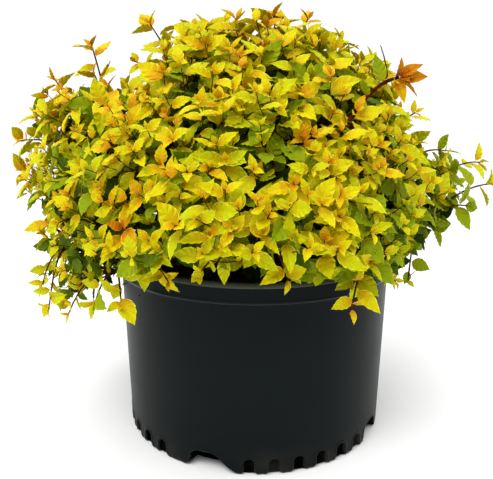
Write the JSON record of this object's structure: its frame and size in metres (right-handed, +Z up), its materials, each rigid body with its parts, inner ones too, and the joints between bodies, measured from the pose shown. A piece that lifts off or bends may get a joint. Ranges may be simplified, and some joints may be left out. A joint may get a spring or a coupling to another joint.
{
  "type": "potted spirea shrub",
  "caption": "Golden-leaved flowering shrub, a dense round mound of fine arching canes, in a plain black nursery pot that it overhangs.",
  "frame": {"origin": "centre of the pot's flat underside, where the potted shrub stands", "axes": "+Z up, from the pot's underside to the crown; -Y is the front that the shrub is shown from; +X is to the right seen from the front"},
  "size_m": [0.5009, 0.423, 0.438],
  "materials": {
    "pot_plastic": "satin black blow-moulded plastic",
    "potting_mix": "damp composted bark",
    "bark": "thin red-brown bark",
    "leaf_lime": "soft matt leaf, lime to green",
    "leaf_gold": "soft matt leaf, golden yellow",
    "leaf_amber": "soft matt young leaf, yellow flushed orange and copper"
  },
  "bodies": {
    "root": {"pot": "pot_plastic", "potting_mix": "potting_mix", "stool": "bark", "cane_skirt_01": "bark", "cane_skirt_02": "bark", "cane_skirt_03": "bark", "cane_skirt_04": "bark", "cane_skirt_05": "bark", "cane_skirt_06": "bark", "cane_skirt_07": "bark", "cane_skirt_08": "bark", "cane_skirt_09": "bark", "cane_skirt_10": "bark", "cane_flank_01": "bark", "cane_flank_02": "bark", "cane_flank_03": "bark", "cane_flank_04": "bark", "cane_flank_05": "bark", "cane_flank_06": "bark", "cane_flank_07": "bark", "cane_top_01": "bark", "cane_top_02": "bark", "cane_top_03": "bark", "foliage_skirt_01": "leaf_lime", "foliage_skirt_02": "leaf_lime", "foliage_skirt_03": "leaf_lime", "foliage_skirt_04": "leaf_lime", "foliage_skirt_05": "leaf_lime", "foliage_skirt_06": "leaf_lime", "foliage_skirt_07": "leaf_lime", "foliage_skirt_08": "leaf_lime", "foliage_skirt_09": "leaf_lime", "foliage_skirt_10": "leaf_lime", "foliage_flank_01": "leaf_gold", "foliage_flank_02": "leaf_gold", "foliage_flank_03": "leaf_gold", "foliage_flank_04": "leaf_gold", "foliage_flank_05": "leaf_gold", "foliage_flank_06": "leaf_gold", "foliage_flank_07": "leaf_gold", "foliage_top_01": "leaf_amber", "foliage_top_02": "leaf_amber", "foliage_top_03": "leaf_amber"}
  },
  "joints": []
}
